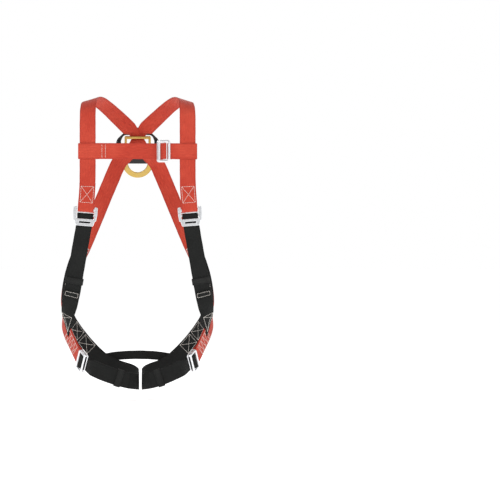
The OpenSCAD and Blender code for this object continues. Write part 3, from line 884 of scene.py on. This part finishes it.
def under_frame(buckle_frame, r):
    """Through the frame's window and round the edge of its lower side."""
    f = buckle_frame.moved(out=UNDER_Z, along=WINDOW_END)
    made = [Frame(f.p - r * f.t + 3 * MM * f.n, f.w, f.t, -f.n)]
    for degrees in range(0, 80, 10):
        a = math.radians(degrees)
        p = f.p - r * math.cos(a) * f.t - r * math.sin(a) * f.n
        made.append(Frame(p, f.w, math.cos(a) * f.t + math.sin(a) * f.n, f.t))
    return made


# The seams' heights on the hip, and the part of the red strap's route that the backing lies under.
HIP_BOXES = ((-0.722, -0.690), (-0.682, -0.650))
BACKING_ROWS = (8.3, 11.8)


def leg_straps(side):
    name = SIDE_NAMES[side]
    route = leg_route(side)
    whole = all_frames(route)
    buckle_frame = leg_buckle(side)
    frames = under_frame(buckle_frame, STRAP_R) + whole
    web("leg_strap_" + name, frames, BLACK, 13 + side)
    tail = raised(frames_of(route, 0, 5), LAYER)
    web("leg_tail_" + name, under_frame(buckle_frame, TAIL_R) + tail, BLACK, 17 + side)
    strip = Strip(whole)
    seams = []
    for low, high in HIP_BOXES:
        s0, s1 = (strip.along_at(2, z, 0.6, 1) for z in (low, high))
        seams += sewn(strip, box_lines(s0, s1, PATTERN_C), (FACE, -FACE))
        seams += sewn(strip, zigzag(s0, s1, PATTERN_C, 5), (FACE,))
    sew("leg_strap_" + name, seams)
    backing = frames_of(mirrored(BACK_ROWS, side), *BACKING_ROWS)
    backing = [f.moved(across=side * 4 * MM, out=-LAYER) for f in backing]
    web("hip_backing_" + name, backing, BLACK, 21 + side)


for side in (LEFT, RIGHT):
    leg_straps(side)

seat = raised(all_frames(SEAT_ROWS), WEB_T)
made = ribbon("web_seat_strap", seat, SEAT_W, WEB_T, SEAT, seed=2)
finish_piece(made, "harness", ["seat_strap"])
strip = Strip(seat)
seams = []
for s0 in (4 * MM, strip.length - 26 * MM):
    seams += sewn(strip, box_lines(s0, s0 + 22 * MM, 9 * MM), (FACE,))
sew("seat_strap", seams)

# ---------------------------------------------------------------- chest strap

CHEST_DROP, CHEST_BUCKLE_X, CHEST_SLOPE = 158 * MM, 70 * MM, 0.04
CHEST_Y = -110.2 * MM + CHEST_SLOPE * (170 * MM - CHEST_DROP)
CHEST_R = WEB_T + 0.7 * MM
CHEST_FRONT = CHEST_Y - CHEST_R
CHEST_FOLD_X = 139.5 * MM + HALF + 0.4 * MM
CHEST_OUT = unit((0, -1, CHEST_SLOPE))


def chest_frame(x, side):
    return frame_of((x, CHEST_FRONT, -CHEST_DROP), (side, 0, 0), CHEST_OUT)


def chest_line(start, stop, side, steps):
    return [chest_frame(start + (stop - start) * i / steps, side) for i in range(steps + 1)]


def chest_loop(side, stop):
    back = chest_line(side * CHEST_FOLD_X, stop, side, 40)
    fold = turn(chest_frame(side * CHEST_FOLD_X, side), -1, CHEST_R)
    return fold + turned_back(back, -1, CHEST_R, WEB_W + 2 * MM, 14 * MM)


BUCKLE_CENTRE = np.array((CHEST_BUCKLE_X, CHEST_FRONT, -CHEST_DROP)) + 2.4 * MM * CHEST_OUT
CHEST_ORIGIN = frame_of(BUCKLE_CENTRE, (-1, 0, 0), CHEST_OUT)


def chest_straps():
    bar = CHEST_ORIGIN.moved(out=FRAME_Z + FRAME_TURN_R, along=BAR_Y)
    back = Frame(bar.p, -bar.w, bar.n, -bar.t)
    inner = [bar.moved(along=-d * MM) for d in (0, 1.5, 3, 4.5, 6, 7.5, 9)]
    frames = flipped(turn(bar, -1, FRAME_TURN_R) + turned_back(inner, -1, FRAME_TURN_R))
    frames += [back.moved(along=d * MM) for d in (0, 6)]
    line = chest_line(CHEST_BUCKLE_X + 30 * MM, CHEST_FOLD_X, 1, 16)
    frames += line + chest_loop(1, CHEST_BUCKLE_X + 30 * MM)
    web("chest_strap_left", frames, RED, 31, "chest_strap")
    f = CHEST_ORIGIN.moved(out=UNDER_Z, along=WINDOW_END)
    frames = under_frame(CHEST_ORIGIN, TAIL_R)
    frames += [f.moved(out=-TAIL_R, along=d * MM) for d in (0, 8)]
    line = chest_line(CHEST_BUCKLE_X - 40 * MM, -CHEST_FOLD_X, -1, 40)
    frames += line + chest_loop(-1, -CHEST_FOLD_X + WEB_W + 32 * MM)
    web("chest_strap_right", frames, RED, 33, "chest_strap")
    strip = Strip(line)
    both = (FACE, -LAYER - FACE)
    c = HALF - 4 * MM
    seams = []
    for x in (-0.099, -0.0905):
        s = strip.along_at(0, x)
        seams += sewn(strip, [[(s, -c), (s, c)]], both)
    sew("chest_strap_right", seams, "chest_strap")


chest_straps()

# ---------------------------------------------------------------- metal and plastic


def corner_path(corners, steps=6):
    """A closed outline through (x, y, radius) corners, each rounded by its own radius."""
    made = []
    n = len(corners)
    for i, (x, y, r) in enumerate(corners):
        p = np.array((x, y), float)
        a = unit(np.array(corners[i - 1][:2], float) - p)
        b = unit(np.array(corners[(i + 1) % n][:2], float) - p)
        angle = math.acos(max(-1.0, min(1.0, float(a @ b))))
        if r <= 0 or angle > math.pi - 1e-3:
            made.append(p)
            continue
        reach = r / math.tan(angle / 2)
        centre = p + unit(a + b) * r / math.sin(angle / 2)
        start, stop = p + a * reach - centre, p + b * reach - centre
        turn_angle = math.atan2(start[0] * stop[1] - start[1] * stop[0], start @ stop)
        for k in range(steps + 1):
            t = turn_angle * k / steps
            c, s = math.cos(t), math.sin(t)
            made.append(centre + np.array((start[0] * c - start[1] * s, start[0] * s + start[1] * c)))
    return [tuple(q) for q in made]


def circle_path(x, y, r, n=72):
    return [(x + r * math.cos(2 * math.pi * i / n), y + r * math.sin(2 * math.pi * i / n)) for i in range(n)]


def slab(name, f, paths, low, high, bevel, material):
    """A plate cut from outlines in millimetres, with rounded edges, standing in a frame."""
    curve = bpy.data.curves.new(name, "CURVE")
    curve.dimensions, curve.fill_mode = "2D", "BOTH"
    curve.extrude = (high - low) / 2 - bevel
    curve.bevel_depth, curve.bevel_resolution, curve.offset = bevel, 3, -bevel
    for path in paths:
        spline = curve.splines.new("POLY")
        spline.points.add(len(path) - 1)
        for point, (x, y) in zip(spline.points, path):
            point.co = (x, y, 0, 1)
        spline.use_cyclic_u = True
    holder = bpy.data.objects.new(name + "_curve", curve)
    bpy.context.scene.collection.objects.link(holder)
    bpy.context.view_layer.update()
    flat = bpy.data.meshes.new_from_object(holder.evaluated_get(bpy.context.evaluated_depsgraph_get()))
    bpy.data.objects.remove(holder)
    middle = (low + high) / 2
    verts = [f.point(v.co.x * MM, v.co.y * MM, (v.co.z + middle) * MM) for v in flat.vertices]
    faces = [tuple(q.vertices) for q in flat.polygons]
    bpy.data.meshes.remove(flat)
    return new_object(name, verts, faces, material, 32.0)


def rod(name, f, x0, x1, y, z, radius, material, chamfer=0.6):
    """A round bar across a frame, in millimetres, with chamfered ends."""
    verts, faces, n = [], [], 32
    small = radius - chamfer
    stations = [(x0, small), (x0 + chamfer, radius), (x1 - chamfer, radius), (x1, small)]
    for x, r in stations:
        for k in range(n):
            a = 2 * math.pi * k / n
            verts.append(f.point(x * MM, (y + r * math.cos(a)) * MM, (z + r * math.sin(a)) * MM))
    for i in range(len(stations) - 1):
        for k in range(n):
            a, b = i * n + k, i * n + (k + 1) % n
            faces.append((a, b, b + n, a + n))
    last = (len(stations) - 1) * n
    faces += [tuple(reversed(range(n))), tuple(range(last, last + n))]
    return new_object(name, verts, faces, material, 30.0)


def hoop(name, f, w, l, r, bar_w, bar_t, y, z, material):
    """A closed frame of rounded bar, like a bent and forged rectangle."""
    corners = [(-w / 2, -l / 2, r), (w / 2, -l / 2, r), (w / 2, l / 2, r), (-w / 2, l / 2, r)]
    path = np.array(corner_path(corners, 8))
    n, m = len(path), 20
    verts, faces = [], []
    for i in range(n):
        ahead, behind = path[(i + 1) % n], path[i - 1]
        t = unit(ahead - behind)
        out = np.array((t[1], -t[0]))
        for k in range(m):
            a = 2 * math.pi * k / m
            c, s = math.cos(a), math.sin(a)
            u = math.copysign(abs(c) ** 0.8, c) * bar_w / 2
            v = math.copysign(abs(s) ** 0.8, s) * bar_t / 2
            q = path[i] + out * u
            verts.append(f.point(q[0] * MM, (q[1] + y) * MM, (z + v) * MM))
    for i in range(n):
        for k in range(m):
            a, b = i * m + k, i * m + (k + 1) % m
            c, d = ((i + 1) % n) * m + (k + 1) % m, ((i + 1) % n) * m + k
            faces.append((a, b, c, d))
    return new_object(name, verts, faces, material, 60.0)


def joined(name, parts):
    chosen = {"active_object": parts[0], "selected_editable_objects": parts, "selected_objects": parts}
    with bpy.context.temp_override(**chosen):
        bpy.ops.object.join()
    parts[0].name = name
    parts[0].data.name = name
    return parts[0]


def both_sides(corners):
    """Corners for +x, then the same mirrored in reverse order."""
    return corners + [(-x, y, r) for x, y, r in reversed(corners)]


def torso_adjuster(side):
    name = "torso_adjuster_" + SIDE_NAMES[side]
    f = adjuster_frame(side)
    outer = both_sides([
        (24.5, -0.6, 1.5), (24.5, -9, 2), (33.5, -9, 4), (33.5, 10, 8),
        (31.4, 31, 3.2), (27.9, 31, 1.5), (24.3, 45, 4.5),
    ])
    fold = [(-24.5, 3, 0.5), (24.5, 3, 0.5), (24.5, 6.4, 0.5), (-24.5, 6.4, 0.5)]
    window = [(-24.5, 8.6, 1.5), (24.5, 8.6, 1.5), (24.5, 25, 2.5), (-24.5, 25, 2.5)]
    slot = [(-16, 32.5, 2), (16, 32.5, 2), (16, 37, 2), (-16, 37, 2)]
    paths = [corner_path(corners) for corners in (outer, fold, window, slot)]
    plate = slab("plate", f, paths, -2, 2, 1.0, STEEL)
    bar = rod("bar", f, -25, 25, 0, 0, 3.5, STEEL)
    finish_piece(joined("steel_" + name, [plate, bar]), name, [name])
    bar_name = "adjuster_bar_" + SIDE_NAMES[side]
    slider = rod("steel_" + bar_name, f, -29, 29, SLIDE_Y / MM, SLIDE_Z / MM, 3.0, STEEL, 0.9)
    finish_piece(slider, "harness", [bar_name])


for side in (LEFT, RIGHT):
    torso_adjuster(side)


def loop_path(bar, bend, hinge):
    """Once round the plate's bar and down to the hinge, in a buckle's y and z.

    Gives points, outward directions and shares of the webbing's thickness.
    """
    big, small = 1.75 + 0.3 + 1.1, 0.75
    path = []

    def arc(centre, r, first, last, steps, k):
        for i in range(steps + 1):
            t = first + (last - first) * i / steps
            out = np.array((math.cos(t), math.sin(t)))
            path.append((centre + r * out, out, k))

    d = bend - bar
    lean = math.atan2(d[1], d[0])
    spread = math.acos((big - small) / np.linalg.norm(d))
    arc(bar, big, lean + spread, lean - spread + 2 * math.pi, 24, 1.0)
    low = math.atan2(*(hinge - bend)[::-1])
    arc(bend, small, lean - spread, low - math.pi / 2, 2, 0.7)
    arc(hinge, small, low - math.pi / 2, low + math.pi / 2, 10, 0.68)
    arc(bend, small, low + math.pi / 2, lean + spread, 2, 0.7)
    return path


def buckle(prefix, f, frame_body, plate_body, material):
    """A pass-through buckle: the frame on one strap, the top plate and its webbing on the other."""
    outline = [(-31, -19.5, 6), (31, -19.5, 6), (31, 17, 6), (-31, 17, 6)]
    window = [(-25.5, -17, 0.5), (25.5, -17, 0.5), (25.5, 13, 2), (-25.5, 13, 2)]
    plate = slab("frame", f, [corner_path(outline), corner_path(window)], -6, -2, 1.5, STEEL)
    bar = rod("bar", f, -26, 26, BAR_Y / MM, FRAME_Z / MM, 2.5, STEEL)
    finish_piece(joined("steel_" + prefix[0], [plate, bar]), frame_body, [prefix[0]])
    z = (PLATE_Z + BUCKLE_T / 2) / MM
    y = PLATE_MID / MM
    ring = hoop("hoop", f, 55, 28, 4.8, 7, 4.2, y, z, STEEL)
    bar_y = PLATE_BAR_Y / MM
    middle = rod("middle", f, -25.5, 25.5, bar_y, z, 1.75, STEEL, 0.3)
    finish_piece(joined("steel_" + prefix[1], [ring, middle]), plate_body, [prefix[1]])
    frames = []
    bend, hinge = np.array((BEND_Y, BEND_Z)) / MM, np.array((HINGE_Y, HINGE_Z)) / MM
    for q, out, k in loop_path(np.array((bar_y, z)), bend, hinge):
        n = out[0] * f.t + out[1] * f.n
        frames.append(Frame(f.point(0, q[0] * MM, q[1] * MM), f.w, n, np.cross(n, f.w), k))
    web(prefix[2], frames, material, 41, plate_body, closed=True)


PARTS = ("frame", "plate", "loop")
names = ["chest_buckle_" + part for part in PARTS]
buckle(names, CHEST_ORIGIN, "chest_strap", "chest_plate", RED)
for side in (LEFT, RIGHT):
    names = [f"leg_buckle_{part}_{SIDE_NAMES[side]}" for part in PARTS]
    buckle(names, leg_buckle(side), "harness", "leg_plate_" + SIDE_NAMES[side], BLACK)


def keeper(name, f, depth):
    """An elastic loop round both layers of a strap."""
    w, h = (WEB_W + 2 * KEEPER_SLACK + KEEPER_T) / MM, (depth + KEEPER_T) / MM
    corners = [(x * w / 2, z * h / 2, 1.6) for x, z in ((-1, -1), (1, -1), (1, 1), (-1, 1))]
    dense_path = dense(corner_path(corners))
    n = len(dense_path)
    frames = []
    for i, (x, z) in enumerate(dense_path):
        ahead, behind = np.array(dense_path[(i + 1) % n]), np.array(dense_path[i - 1])
        t = unit(ahead - behind)
        along = t[0] * f.w + t[1] * f.n
        out = t[1] * f.w - t[0] * f.n
        frames.append(Frame(f.point(x * MM, 0, z * MM), f.t, out, along))
    made = ribbon("elastic_" + name, frames, KEEPER_LEN, KEEPER_T, ELASTIC, closed=True, seed=51)
    finish_piece(made, name, [name])


KEEPER_DEPTH = WEB_T + LAYER + 1.4 * MM
TORSO_KEEPER_ROW, LEG_KEEPER_ROW = 6.25, 4.1
for side in (LEFT, RIGHT):
    f = frame_at(torso_route(side), TORSO_KEEPER_ROW)
    keeper("torso_keeper_" + SIDE_NAMES[side], f.moved(out=LAYER / 2), KEEPER_DEPTH)
    f = frame_at(leg_route(side), LEG_KEEPER_ROW)
    keeper("leg_keeper_" + SIDE_NAMES[side], f.moved(out=LAYER / 2), KEEPER_DEPTH)

# ---------------------------------------------------------------- dorsal ring and plate

DORSAL = frame_of((0, 0.104, -0.109), (0, 0.148, -0.989), (0, 0.989, 0.148))


def dorsal_ring():
    eye_y, outer, arm = 72.0, 44.5, 38.0
    to = np.array((arm, 27.0 - eye_y))
    far = np.linalg.norm(to)
    first = math.atan2(to[1], to[0]) + math.acos(outer / far)
    arc = []
    for i in range(61):
        t = first + (math.pi - 2 * first) * i / 60
        arc.append((outer * math.cos(t), eye_y + outer * math.sin(t)))
    head = corner_path([
        (-arm, 27, 0), (-arm, -4.5, 4), (-31, -4.5, 0.8), (-31, 30.5, 3),
        (31, 30.5, 3), (31, -4.5, 0.8), (arm, -4.5, 4), (arm, 27, 0),
    ])
    plate = slab("ring", DORSAL, [head + arc, circle_path(0, eye_y, 28.5)], -3.8, 3.8, 2.0, ZINC)
    bar = rod("ring_bar", DORSAL, -33, 33, 0, 0, 4.5, ZINC)
    finish_piece(joined("forged_dorsal_ring", [plate, bar]), "dorsal_ring", ["dorsal_ring"])


def dorsal_plate():
    arch = both_sides([(24, -28, 26), (62, 8, 22), (62, 30, 3), (48, 30, 1.5), (48, 10, 9), (41, -6, 12)])
    parts = [slab("arch", DORSAL, [corner_path(arch)], 11.6, 14.6, 1.1, PLASTIC)]
    for x in (-62, 48):
        post = [(x, 12, 1.5), (x + 14, 12, 1.5), (x + 14, 30, 1.5), (x, 30, 1.5)]
        parts.append(slab("post", DORSAL, [corner_path(post)], -7.4, 12.6, 0.8, PLASTIC))
    base = both_sides([(36, 45, 6), (48, 36, 6), (48, 12, 1), (62, 12, 3), (62, 34, 8), (40, 75, 8)])
    parts.append(slab("base", DORSAL, [corner_path(base)], -7.4, -4.4, 1.1, PLASTIC))
    finish_piece(joined("moulded_dorsal_plate", parts), "harness", ["dorsal_plate"])


dorsal_ring()
dorsal_plate()

# ---------------------------------------------------------------- floor and light


FLOOR_REACH, FLOOR_DROP = 40.0, 0.03
LAMPS_AIM = (0, 0, -0.4)


def make_stage():
    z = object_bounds()[0].z - FLOOR_DROP
    corners = [(x * FLOOR_REACH, y * FLOOR_REACH, z) for x, y in ((-1, -1), (1, -1), (1, 1), (-1, 1))]
    mesh = bpy.data.meshes.new("floor")
    mesh.from_pydata(corners, [], [(0, 1, 2, 3)])
    material, _, shader = node_tree("pale_floor")
    put(shader, {"Base Color": (0.92, 0.92, 0.92, 1), "Roughness": 0.9, "Specular IOR Level": 0.0})
    put(shader, {"Emission Color": (1, 1, 1, 1), "Emission Strength": 0.64})
    mesh.materials.append(material)
    floor = bpy.data.objects.new("floor", mesh)
    bpy.context.scene.collection.objects.link(floor)
    world = bpy.data.worlds.new("world")
    world.use_nodes = True
    bpy.context.scene.world = world
    w = Wires(world.node_tree)
    background = world.node_tree.nodes["Background"]
    background.inputs[0].default_value = (1, 1, 1, 1)
    seen = w.add("ShaderNodeLightPath").outputs["Is Camera Ray"]
    w.link(w.span(seen, 0, 1, 0.42, 1.0), background.inputs[1])
    for name, place, size, power in (
        ("key", (-1.6, -2.6, 1.6), 1.6, 42.0),
        ("fill", (1.9, -2.2, 0.4), 2.0, 16.0),
        ("back", (0.6, 2.6, 1.4), 1.8, 30.0),
    ):
        data = bpy.data.lights.new(name, "AREA")
        data.size, data.energy = size, power
        stand(bpy.data.objects.new(name, data), place, LAMPS_AIM)


make_stage()
bpy.context.scene.view_settings.view_transform = "Standard"
